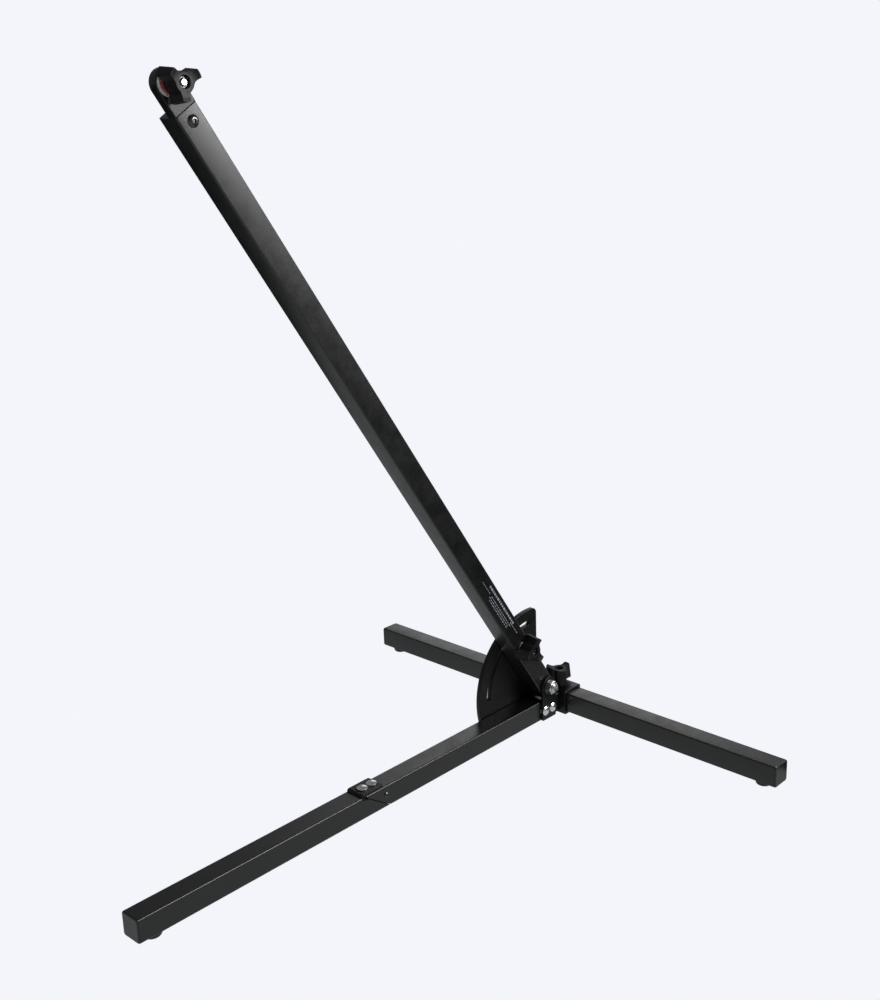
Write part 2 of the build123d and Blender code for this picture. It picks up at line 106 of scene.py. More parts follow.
# ---- node materials -----------------------------------------------------------
class Nodes:
    """Small helper for building one material's node tree."""

    def __init__(self, name):
        self.material = bpy.data.materials.new(name)
        self.material.use_nodes = True
        self.tree = self.material.node_tree
        self.shader = self.tree.nodes["Principled BSDF"]
        self.where = self.tree.nodes.new("ShaderNodeTexCoord").outputs["Object"]

    def add(self, kind, **values):
        node = self.tree.nodes.new(kind)
        for key, value in values.items():
            setattr(node, key, value)
        return node

    def link(self, a, b):
        self.tree.links.new(a, b)

    def noise(self, scale, detail=3.0, stretch=(1, 1, 1), rough=0.5):
        where = self.where
        if stretch != (1, 1, 1):
            mapping = self.add("ShaderNodeMapping")
            mapping.inputs["Scale"].default_value = stretch
            self.link(where, mapping.inputs["Vector"])
            where = mapping.outputs["Vector"]
        node = self.add("ShaderNodeTexNoise")
        node.inputs["Scale"].default_value = scale
        node.inputs["Detail"].default_value = detail
        node.inputs["Roughness"].default_value = rough
        self.link(where, node.inputs["Vector"])
        return node.outputs["Fac"]

    def ramp(self, value, low, high, at_low, at_high):
        """Linear remap of a value, clamped."""
        node = self.add("ShaderNodeMapRange")
        limits = {"From Min": low, "From Max": high, "To Min": at_low, "To Max": at_high}
        for name, number in limits.items():
            node.inputs[name].default_value = number
        self.link(value, node.inputs["Value"])
        return node.outputs["Result"]

    def mix(self, factor, a, b):
        node = self.add("ShaderNodeMix", data_type="RGBA")
        self.link(factor, node.inputs["Factor"])
        for socket, value in ((node.inputs[6], a), (node.inputs[7], b)):
            if hasattr(value, "is_output"):
                self.link(value, socket)
            else:
                socket.default_value = (*value, 1.0)
        return node.outputs[2]

    def math(self, operation, a, b):
        node = self.add("ShaderNodeMath", operation=operation)
        for socket, value in ((node.inputs[0], a), (node.inputs[1], b)):
            if hasattr(value, "is_output"):
                self.link(value, socket)
            else:
                socket.default_value = value
        return node.outputs["Value"]

    def bump(self, *layers):
        """Stack bump layers, each (height, strength, distance in metres)."""
        normal = None
        for height, strength, distance in layers:
            node = self.add("ShaderNodeBump")
            node.inputs["Strength"].default_value = strength
            node.inputs["Distance"].default_value = distance
            self.link(height, node.inputs["Height"])
            if normal is not None:
                self.link(normal, node.inputs["Normal"])
            normal = node.outputs["Normal"]
        self.link(normal, self.shader.inputs["Normal"])

    def set(self, **values):
        for key, value in values.items():
            socket = self.shader.inputs[key.replace("_", " ")]
            if hasattr(value, "is_output"):
                self.link(value, socket)
            else:
                socket.default_value = (*value, 1.0) if isinstance(value, tuple) else value


def paint(name, dark, light, rough, grain=1.0, level=0.5):
    """Satin black powder coat: fine orange peel, faint cloudiness, dust and rubbed patches."""
    n = Nodes(name)
    cloud = n.noise(14.0, 4.0)
    speck = n.noise(1500.0, 2.0)
    rub = n.noise(55.0, 5.0, (1, 1, 1), 0.65)
    colour = n.mix(n.ramp(cloud, 0.35, 0.7, 0.0, 1.0), dark, light)
    pale = tuple(min(1.0, v * 2.2) for v in light)
    colour = n.mix(n.ramp(speck, 0.52, 0.72, 0.0, 0.55), colour, pale)
    n.link(colour, n.shader.inputs["Base Color"])
    roughness = n.math("ADD", n.ramp(rub, 0.3, 0.75, rough - 0.05, rough + 0.07),
                       n.ramp(speck, 0.3, 0.7, -0.03, 0.03))
    n.link(roughness, n.shader.inputs["Roughness"])
    n.bump((speck, 0.10 * grain, 0.0002), (n.noise(420.0, 2.0), 0.08 * grain, 0.0005),
           (rub, 0.02 * grain, 0.002))
    n.set(Specular_IOR_Level=level)
    return n.material


def moulded(name, dark, light, rough, level=0.5):
    """Moulded black plastic: fine spark-eroded grain and a little handling polish."""
    n = Nodes(name)
    grain = n.noise(2200.0, 3.0)
    polish = n.noise(120.0, 4.0)
    n.link(n.mix(n.ramp(polish, 0.35, 0.7, 0.0, 1.0), dark, light), n.shader.inputs["Base Color"])
    n.link(n.ramp(polish, 0.3, 0.7, rough - 0.06, rough + 0.08), n.shader.inputs["Roughness"])
    n.bump((grain, 0.16, 0.00012), (polish, 0.05, 0.0006))
    n.set(Specular_IOR_Level=level)
    return n.material


def zinc(name, colour, rough):
    """Zinc-plated steel: bright, lightly cloudy, with fine turning marks."""
    n = Nodes(name)
    cloud = n.noise(260.0, 4.0)
    lines = n.noise(900.0, 2.0, (1, 1, 5))
    dull = tuple(v * 0.72 for v in colour)
    n.link(n.mix(n.ramp(cloud, 0.3, 0.75, 0.0, 1.0), colour, dull), n.shader.inputs["Base Color"])
    n.link(n.math("ADD", n.ramp(cloud, 0.3, 0.7, rough - 0.05, rough + 0.1),
                  n.ramp(lines, 0.3, 0.7, -0.04, 0.04)), n.shader.inputs["Roughness"])
    n.bump((lines, 0.12, 0.00008), (cloud, 0.06, 0.0003))
    n.set(Metallic=1.0)
    return n.material


def rubber(name):
    n = Nodes(name)
    scuff = n.noise(300.0, 5.0)
    n.link(n.mix(n.ramp(scuff, 0.45, 0.75, 0.0, 1.0), (0.012, 0.012, 0.012), (0.035, 0.034, 0.032)),
           n.shader.inputs["Base Color"])
    n.link(n.ramp(scuff, 0.3, 0.7, 0.62, 0.8), n.shader.inputs["Roughness"])
    n.bump((scuff, 0.2, 0.0003))
    return n.material


def print_ink(name):
    """Thin screen-printed ink, a little worn."""
    n = Nodes(name)
    worn = n.noise(900.0, 4.0)
    n.link(n.mix(n.ramp(worn, 0.5, 0.72, 0.0, 1.0), (0.80, 0.82, 0.90), (0.42, 0.43, 0.48)),
           n.shader.inputs["Base Color"])
    n.link(n.ramp(worn, 0.3, 0.7, 0.45, 0.6), n.shader.inputs["Roughness"])
    n.bump((worn, 0.1, 0.0001))
    return n.material


PAINT = paint("satin_black_paint", (0.0055, 0.0062, 0.0058), (0.009, 0.0099, 0.0093), 0.36)
# Darker, duller copy of the same satin black paint, used for the quadrant, strap, sleeve, hinge and clamp
# nut: painted shade for these lower parts.
SHADED_PLATE_PAINT = paint("satin_black_plate_painted_shade", (0.003, 0.0033, 0.0035), (0.0055, 0.0058, 0.0062), 0.42, 1.0, 0.28)
HEAD_PAINT = paint("satin_black_head", (0.004, 0.0044, 0.0047), (0.0075, 0.008, 0.0085), 0.36, 1.0, 0.35)
INSIDE = moulded("dark_plug_plastic", (0.012, 0.012, 0.012), (0.02, 0.02, 0.02), 0.5)
KNOB = moulded("knob_plastic", (0.004, 0.004, 0.0044), (0.0065, 0.0065, 0.0072), 0.48, 0.25)
BRIGHT = zinc("zinc_plate", (0.83, 0.83, 0.84), 0.22)
TEETH = zinc("machined_teeth", (0.95, 0.94, 0.92), 0.46)
BLACK_STEEL = moulded("black_oxide", (0.010, 0.010, 0.011), (0.02, 0.02, 0.022), 0.26, 0.8)
FOOT = rubber("foot_rubber")
RED = moulded("red_plastic", (0.30, 0.012, 0.016), (0.20, 0.007, 0.010), 0.40)
NYLON = moulded("pale_nylon", (0.55, 0.54, 0.50), (0.62, 0.61, 0.57), 0.45)
INK = print_ink("white_ink")


# ---- meshes -------------------------------------------------------------------
def piece(name, verts, faces, place, body, slot, material, nodes=(), bevel=0.0, sharp=32):
    """Make one mesh from points in millimetres, put it in place and let it ride."""
    mesh = bpy.data.meshes.new(name)
    whole = place @ SCALE
    mesh.from_pydata([whole @ Vector(v) for v in verts], [], faces)
    mesh.validate()
    mesh.shade_smooth()
    mesh.set_sharp_from_angle(angle=math.radians(sharp))
    obj = bpy.data.objects.new(name, mesh)
    bpy.context.scene.collection.objects.link(obj)
    obj.data.materials.append(material)
    if bevel:
        edge = obj.modifiers.new("edge", "BEVEL")
        edge.width = bevel * MM
        edge.segments = 3
        edge.limit_method = "ANGLE"
        edge.angle_limit = math.radians(30)
        edge.harden_normals = True
    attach(obj, body)
    if nodes:
        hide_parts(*nodes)
    return obj


def stack(rings, closed=False, cap_first=False, cap_last=False):
    """Skin a list of equal rings of points."""
    count = len(rings[0])
    verts = [p for ring in rings for p in ring]
    faces = []
    last = len(rings) if closed else len(rings) - 1
    for k in range(last):
        a, b = k * count, (k + 1) % len(rings) * count
        for i in range(count):
            j = (i + 1) % count
            faces.append((a + i, a + j, b + j, b + i))
    if cap_first:
        faces.append(tuple(reversed(range(count))))
    if cap_last:
        faces.append(tuple(range((len(rings) - 1) * count, len(rings) * count)))
    return verts, faces


def joined(*meshes):
    verts, faces = [], []
    for v, f in meshes:
        shift = len(verts)
        verts += v
        faces += [tuple(i + shift for i in face) for face in f]
    return verts, faces


def moved(mesh, place):
    """Move points in millimetres by a matrix whose shift is in metres."""
    verts, faces = mesh
    turn = place.to_3x3()
    shift = place.translation / MM
    return [tuple(turn @ Vector(v) + shift) for v in verts], faces


def lathe(profile, count=64):
    """Turned shape about z. Radius 0 at either end closes it."""
    rings = [[(r * math.cos(TAU * i / count), r * math.sin(TAU * i / count), z) for i in range(count)]
             for r, z in profile if r > 1e-6]
    verts, faces = stack(rings)
    for end, index in ((profile[0], 0), (profile[-1], len(rings) - 1)):
        if end[0] <= 1e-6:
            verts.append((0.0, 0.0, end[1]))
            tip = len(verts) - 1
            start = index * count
            for i in range(count):
                j = (i + 1) % count
                face = (start + j, start + i, tip) if index == 0 else (start + i, start + j, tip)
                faces.append(face)
    return verts, faces


def washer(outer, inner, low, high, soft=0.18, count=64):
    s = min(soft, (high - low) / 3)
    rings = [(inner, low), (outer - s, low), (outer, low + s), (outer, high - s), (outer - s, high),
             (inner + s, high), (inner, high - s), (inner, low)]
    return lathe(rings, count)


def dome(radius, height, rim=0.6, count=72):
    """Low round head standing on z = 0, with a short upright rim."""
    sphere = (radius ** 2 + (height - rim) ** 2) / (2 * (height - rim))
    profile = [(radius - 0.15, 0.0), (radius, 0.15), (radius, rim)]
    steps = 9
    for i in range(1, steps):
        r = radius * math.cos(math.pi / 2 * i / steps)
        profile.append((r, height - sphere + math.sqrt(sphere ** 2 - r ** 2)))
    return lathe(profile + [(0.0, height)], count)


def shank(radius, low, high, pitch=1.25, deep=0.35, count=48):
    """Threaded rod as a stack of close ridges, chamfered at the top."""
    profile = [(0.0, low), (radius - deep, low)]
    turns = max(1, int((high - low - 1.2) / pitch))
    for i in range(turns):
        z = low + i * pitch
        profile += [(radius - deep, z + 0.1 * pitch), (radius, z + 0.45 * pitch), (radius, z + 0.6 * pitch),
                    (radius - deep, z + 0.95 * pitch)]
    profile += [(radius, high - 0.9), (radius - 0.7, high), (0.0, high)]
    return lathe(profile, count)


def hexagon_radius(flats, angle):
    step = math.pi / 3
    return flats / 2 / math.cos((angle % step) - step / 2)


def hexagon_nut(flats, bore, low, high, count=96):
    """Nut with chamfered corners at both ends and a countersunk bore."""
    crown = flats * 0.485
    angles = [TAU * i / count for i in range(count)]

    def circle(r, z):
        return [(r * math.cos(a), r * math.sin(a), z) for a in angles]

    def flanks(z, sign):
        ring = []
        for a in angles:
            r = hexagon_radius(flats, a)
            ring.append((r * math.cos(a), r * math.sin(a), z + sign * (r - crown) * 0.5))
        return ring
    rings = [circle(bore, low), circle(crown, low), flanks(low, 1), flanks(high, -1), circle(crown, high),
             circle(bore + 0.7, high), circle(bore, high - 0.6), circle(bore, low)]
    return stack(rings)


def rounded_square(side, radius, steps=6, along=1):
    """Outline of a rounded square, counter-clockwise, as (u, v) pairs."""
    half = side / 2
    points = []
    for quarter in range(4):
        turn = quarter * math.pi / 2
        centre = Vector((half - radius, half - radius))
        angles = [math.pi / 2 * i / steps for i in range(steps + 1)]
        arc = [centre + radius * Vector((math.cos(a), math.sin(a))) for a in angles]
        straight_end = Vector((-(half - radius), half))
        arc += [arc[-1].lerp(straight_end, k / along) for k in range(1, along)]
        c, s = math.cos(turn), math.sin(turn)
        points += [(p.x * c - p.y * s, p.x * s + p.y * c) for p in arc]
    return points


def square_tube(length, outside=TUBE, wall=WALL, corner=CORNER, first=None, last=None, along=1):
    """Hollow tube along z from 0. first and last give an end's z for a point of the outline."""
    first = first or (lambda u, v: 0.0)
    last = last or (lambda u, v: length)
    soft = 0.3
    outer = rounded_square(outside, corner, 6, along)
    eased = rounded_square(outside - 2 * soft, corner - soft * 0.6, 6, along)
    inner = rounded_square(outside - 2 * wall, max(corner - wall, 0.5), 6, along)

    def ring(outline, height, shift):
        return [(u, v, height(u, v) + shift) for u, v in outline]
    rings = [ring(inner, first, 0), ring(eased, first, 0), ring(outer, first, soft),
             ring(outer, last, -soft), ring(eased, last, 0), ring(inner, last, 0)]
    return stack(rings, closed=True)


def end_cap(side=TUBE, flange=1.5):
    """Plastic plug's flange over a tube end: soft rim and a faintly sunk, crowned face."""
    levels = ((side - 0.5, 0.0), (side, 0.3), (side, flange - 0.9), (side - 0.35, flange - 0.4),
              (side - 1.1, flange - 0.08), (side - 2.0, flange), (side - 8.0, flange - 0.12),
              (side - 16.0, flange - 0.16))
    rings = []
    for size, z in levels:
        rings.append([(u, v, z) for u, v in rounded_square(size, min(CORNER + 0.7, size / 4), 6, 4)])
    return stack(rings, cap_first=True, cap_last=True)


def flat_shape(name, loops, thick, place, body, material, nodes=(), bevel=0.35):
    """Plate from closed outlines in its own XY plane, from z = 0 up, with eased edges."""
    curve = bpy.data.curves.new(name + "_outline", "CURVE")
    curve.dimensions = "2D"
    curve.fill_mode = "BOTH"
    curve.extrude = thick / 2 * MM - bevel * MM
    curve.bevel_depth = bevel * MM
    curve.bevel_resolution = 2
    curve.offset = -bevel * MM
    for loop in loops:
        spline = curve.splines.new("POLY")
        spline.points.add(len(loop) - 1)
        for point, (x, y) in zip(spline.points, loop):
            point.co = (x * MM, y * MM, 0, 1)
        spline.use_cyclic_u = True
    holder = bpy.data.objects.new(name + "_holder", curve)
    mesh = bpy.data.meshes.new_from_object(holder)
    mesh.name = name
    mesh.transform(place @ at(0, 0, thick / 2))
    bpy.data.objects.remove(holder)
    mesh.shade_smooth()
    mesh.set_sharp_from_angle(angle=math.radians(50))
    obj = bpy.data.objects.new(name, mesh)
    bpy.context.scene.collection.objects.link(obj)
    obj.data.materials.clear()
    obj.data.materials.append(material)
    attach(obj, body)
    if nodes:
        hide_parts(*nodes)
    return obj


def arc_points(cx, cy, radius, start, end, steps):
    """Points along an arc, its angles in degrees."""
    angles = [math.radians(start + (end - start) * i / steps) for i in range(steps + 1)]
    return [(cx + radius * math.cos(a), cy + radius * math.sin(a)) for a in angles]


# ---- knobs --------------------------------------------------------------------
LOBE_TIP = 18.5
TIP_HALF_ANGLE = 14.5
TAPER = 0.22            # how much of a lobe's reach is lost by the top
WAIST_R = 9.2
HUB_TOP = 17.4


def knob_outline():
    """(angle, radius) pairs: three square-ended lobes whose flanks curve in to the waist."""
    flank = 60.0 - TIP_HALF_ANGLE
    third = [(TIP_HALF_ANGLE * (i / 4 - 1), LOBE_TIP) for i in range(9)]
    fall = math.exp(-7.0)
    for k in range(1, 15):
        t = (k / 14) ** 1.7
        share = (math.exp(-7.0 * t) - fall) / (1 - fall)
        third.append((TIP_HALF_ANGLE + flank * t, WAIST_R + (LOBE_TIP - WAIST_R) * share))
    third += [(120.0 - turn, r) for turn, r in reversed(third[9:-1])]
    return [(math.radians(turn + lobe), r) for lobe in (0, 120, 240) for turn, r in third]


def knob_top(r):
    """Height of the knob's upper face: dished, lowest at the hub."""
    out = (r - WAIST_R) / ((LOBE_TIP - WAIST_R) * (1 - TAPER))
    return HUB_TOP + 0.3 + 2.5 * max(0.0, min(1.0, out)) ** 1.6


def knob_mesh(reach=1.0):
    """Knob standing on z = 0: tall square-ended lobes round a hub with a sunk centre."""
    outline = knob_outline()
    rings = []

    def circle(r, z):
        rings.append([(r * math.cos(a), r * math.sin(a), z) for a, _ in outline])

    def lobes(share, inset, z=None, drop=0.0):
        ring = []
        for a, full in outline:
            level = 19.5 if z is None else z
            r = WAIST_R + (full - WAIST_R) * reach * share * (1 - TAPER * (level - 2.7) / 16.8) - inset
            ring.append((r * math.cos(a), r * math.sin(a), knob_top(r) - drop if z is None else z))
        rings.append(ring)
    circle(5.0, 0.0)
    circle(8.4, 0.0)
    lobes(0.2, 0.0, 0.2)
    lobes(0.94, 0.2, 0.3)
    lobes(0.985, 0.1, 0.6)
    lobes(1.0, 0.0, 1.3)
    lobes(1.0, 0.0, 11.0)
    lobes(1.0, 0.0, None, 0.9)
    lobes(0.99, 0.1, None, 0.3)
    lobes(0.965, 0.3, None, 0.02)
    for share in (0.85, 0.7, 0.55, 0.4, 0.25, 0.1):
        lobes(share, 0.3)
    circle(8.2, HUB_TOP + 0.1)
    circle(7.0, HUB_TOP)
    circle(6.0, HUB_TOP)
    circle(5.5, HUB_TOP - 0.1)
    circle(5.2, HUB_TOP - 0.5)
    circle(5.2, 14.4)
    circle(5.0, 14.4)
    return stack(rings)


def knob(name, node, place, turn, body, stud_r, reach=1.0):
    seat = place @ turned(turn, "Z")
    made = piece(name, *knob_mesh(reach), seat, body, "knob_plastic", KNOB, (node,), sharp=40)
    made.modifiers.new("smooth", "SUBSURF").levels = 1
    made.modifiers["smooth"].render_levels = 1
    sleeve = washer(4.9, stud_r + 0.1, 0.0, 14.4, 0.3)
    piece(name + "_sleeve", *sleeve, seat, body, "black_steel", BLACK_STEEL, (node + "_insert",))


# ---- crossbar -----------------------------------------------------------------
def make_crossbar():
    length = 2 * BAR_HALF - 3.0
    tube = square_tube(length)
    piece("crossbar_black_tube", *tube, BAR @ at(0, -length / 2, TUBE / 2) @ FACING_Y, "crossbar",
          "black_paint", PAINT, ("crossbar_tube",))
    caps, pads, screws = [], [], []
    for side, facing in ((1, FACING_Y), (-1, FACING_MINUS_Y)):
        caps.append(moved(end_cap(), at(0, side * length / 2, TUBE / 2) @ facing))
        pads.append(moved(foot_mesh(), at(0, side * (BAR_HALF - FOOT_INSET), 0)))
        screws.append(moved(foot_screw_mesh(), at(0, side * (BAR_HALF - FOOT_INSET), 0)))
    piece("crossbar_end_caps", *joined(*caps), BAR, "crossbar", "black_plastic", PAINT,
          ("crossbar_end_plugs",))
    piece("crossbar_rubber_feet", *joined(*pads), BAR, "crossbar", "foot_rubber", FOOT, ("crossbar_feet",))
    piece("crossbar_feet_fixings", *joined(*screws), BAR, "crossbar", "bright_steel", BRIGHT,
          ("crossbar_foot_screws",))


def foot_mesh():
    """Turned rubber foot, counterbored for its screw, with its top at z = 0."""
    return lathe([(2.1, -3.2), (4.2, -3.2), (4.2, -6.2), (4.5, -6.5), (7.2, -6.5), (8.3, -6.15),
                  (9.0, -5.4), (9.5, -4.2), (10.0, -1.6), (10.15, -0.5), (10.1, -0.15), (9.8, 0.0),
                  (2.1, 0.0), (2.1, -3.2)])


def foot_screw_mesh():
    head = lathe([(0.0, -4.9), (0.9, -4.9), (1.3, -5.6), (3.0, -5.5), (3.8, -4.9), (4.0, -4.2), (4.0, -3.2),
                  (0.0, -3.2)], 48)
    return joined(head, shank(2.0, -3.3, 6.0, 0.9, 0.25, 32))


def make_sleeve():
    half = 22.0
    tube = square_tube(2 * half, SLEEVE, (SLEEVE - 25.7) / 2, 2.4)
    piece("crossbar_black_sleeve", *tube, BASE @ at(0, -half, TUBE / 2) @ FACING_Y, "base", "black_paint",
          SHADED_PLATE_PAINT, ("crossbar_sleeve",))
    top = TUBE / 2 + SLEEVE / 2
    nut = washer(8.0, 4.1, top, top + 3.0, 0.5)
    piece("clamp_nut_on_sleeve", *nut, BASE, "base", "black_paint", SHADED_PLATE_PAINT, ("sleeve_clamp_nut",))


# ---- leg ----------------------------------------------------------------------
def make_leg():
    start = SLEEVE / 2
    gap = 0.3 / math.cos(math.atan2(CUT_RUN, TUBE))

    # Along x the tube's u runs down and v runs across, so u = -height above the middle.
    def inner_end(u, v):
        below = TUBE / 2 + u
        cut = FOLD_X - CUT_RUN * below / TUBE - gap
        room = FOLD_X - math.sqrt(max(3.6 ** 2 - below ** 2, 0.0)) if below < 3.6 else 1e6
        return min(cut, room) - start

    def outer_start(u, v):
        below = TUBE / 2 + u
        cut = FOLD_X - CUT_RUN * below / TUBE + gap
        room = FOLD_X + math.sqrt(max(3.6 ** 2 - below ** 2, 0.0)) if below < 3.6 else -1e6
        return max(cut, room) - start
    place = BASE @ at(start, 0, TUBE / 2) @ ALONG_X
    tube = square_tube(1.0, last=inner_end, along=16)
    piece("inner_leg_tube", *tube, place, "base", "black_paint", PAINT, ("leg_inner_tube",))
    length = LEG_REACH - 1.5 - start
    tube = square_tube(length, first=outer_start, along=16)
    piece("outer_leg_tube", *tube, place, "outer_leg", "black_paint", PAINT, ("leg_outer_tube",))
    piece("leg_end_cap", *end_cap(), BASE @ at(LEG_REACH - 1.5, 0, TUBE / 2) @ ALONG_X, "outer_leg",
          "black_plastic", PAINT, ("leg_end_plug",))
    foot = BASE @ at(LEG_REACH - FOOT_INSET, 0, 0)
    piece("leg_rubber_foot", *foot_mesh(), foot, "outer_leg", "foot_rubber", FOOT, ("leg_foot",))
    piece("leg_foot_fixing", *foot_screw_mesh(), foot, "outer_leg", "bright_steel", BRIGHT,
          ("leg_foot_screw",))


def make_hinge():
    outer_y = 12.0
    length, thick, corner = 28.5, 3.2, 2.2
    leaf = arc_points(-length + corner, -outer_y + corner, corner, 180, 270, 6)
    leaf += [(-3.6, -outer_y), (-3.6, outer_y)]
    leaf += arc_points(-length + corner, outer_y - corner, corner, 90, 180, 6)
    place = BASE @ at(FOLD_X, 0, TUBE)
    flat_shape("hinge_top_leaf", [leaf], thick, place, "base", SHADED_PLATE_PAINT, (), 0.3)
    barrels = []
    for low, high in ((-outer_y, -4.3), (4.3, outer_y)):
        # Knuckle drawn about z, then turned across the leg: rolled from the leaf.
        turns = [math.radians(a) for a in range(90, -181, -10)]
        outline = [(3.2 * math.cos(a), 3.2 * math.sin(a)) for a in turns]
        outline += [(-3.2, 0.0), (-3.7, 0.0), (-3.7, 3.2)]
        rings = [[(x, y, z) for x, y in outline] for z in (low, high)]
        barrels.append(moved(stack(rings, cap_first=True, cap_last=True), turned(90, "X")))
    piece("hinge_rolled_knuckles", *joined(*barrels), place, "base", "black_paint", SHADED_PLATE_PAINT,
          ("leg_hinge_inner_leaf",), 0.25)
    middle = moved(washer(3.2, 1.7, -4.15, 4.15, 0.3, 48), FACING_Y)
    tongue = [(3.0, -2.0), (3.4, -3.9), (29.0, -3.9), (29.0, -1.75), (5.2, -1.75), (3.1, 0.4)]
    rings = [[(x, y, z) for x, z in tongue] for y in (-4.1, 4.1)]
    piece("hinge_middle_knuckle", *joined(middle, stack(rings, cap_first=True, cap_last=True)), place,
          "outer_leg", "black_paint", SHADED_PLATE_PAINT, ("leg_hinge_outer_leaf",))
    pin = lathe([(0.0, -12.0), (1.3, -12.0), (1.6, -11.7), (1.6, 11.7), (1.3, 12.0), (0.0, 12.0)], 32)
    piece("hinge_steel_pin", *pin, place @ FACING_Y, "base", "bright_steel", BRIGHT, ("leg_hinge_pin",))
    heads = []
    for x in (-8.6, -22.1):
        heads.append(moved(joined(dome(6.2, 3.0, 0.7), shank(2.5, -4.8, 0.3)), at(x, 0, 3.2)))
    piece("hinge_domed_screws", *joined(*heads), place, "base", "bright_steel", BRIGHT,
          ("leg_hinge_screws",), sharp=45)
    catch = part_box("leg_catch_screws")
    x = (catch[0][0] + catch[1][0]) / 2 / MM
    z = (catch[0][2] + catch[1][2]) / 2 / MM
    heads = []
    for side, facing in ((1, FACING_Y), (-1, FACING_MINUS_Y)):
        seat = at(x, BAR_AT.y / MM + side * TUBE / 2, z) @ facing
        heads.append(moved(button_screw(3.5, 2.0, 2.0, 7.0), seat))
    piece("catch_button_screws", *joined(*heads), Matrix.Identity(4), "base", "black_steel", BLACK_STEEL,
          ("leg_catch_screws",), sharp=40)


def button_screw(radius, height, stem, length, count=72):
    """Button head with a hexagon socket, standing on z = 0, its stem below."""
    angles = [TAU * i / count for i in range(count)]
    sphere = (radius ** 2 + (height - 0.3) ** 2) / (2 * (height - 0.3))
    flats = radius * 0.62
    rings = []
    for r, z in ((stem, -length), (stem, -0.05), (radius - 0.2, 0.0), (radius, 0.15), (radius, 0.3)):
        rings.append([(r * math.cos(a), r * math.sin(a), z) for a in angles])
    for k in range(1, 8):
        r = radius * math.cos(math.pi / 2 * k / 11)
        z = height - sphere + math.sqrt(sphere ** 2 - r ** 2)
        rings.append([(r * math.cos(a), r * math.sin(a), z) for a in angles])
    flat_top = rings[-1][0][2]
    for grow, z in ((1.12, flat_top + 0.05), (1.0, flat_top - 0.15), (1.0, height * 0.3)):
        reach = [hexagon_radius(flats, a) * grow for a in angles]
        rings.append([(r * math.cos(a), r * math.sin(a), z) for r, a in zip(reach, angles)])
    return stack(rings, cap_first=True, cap_last=True)


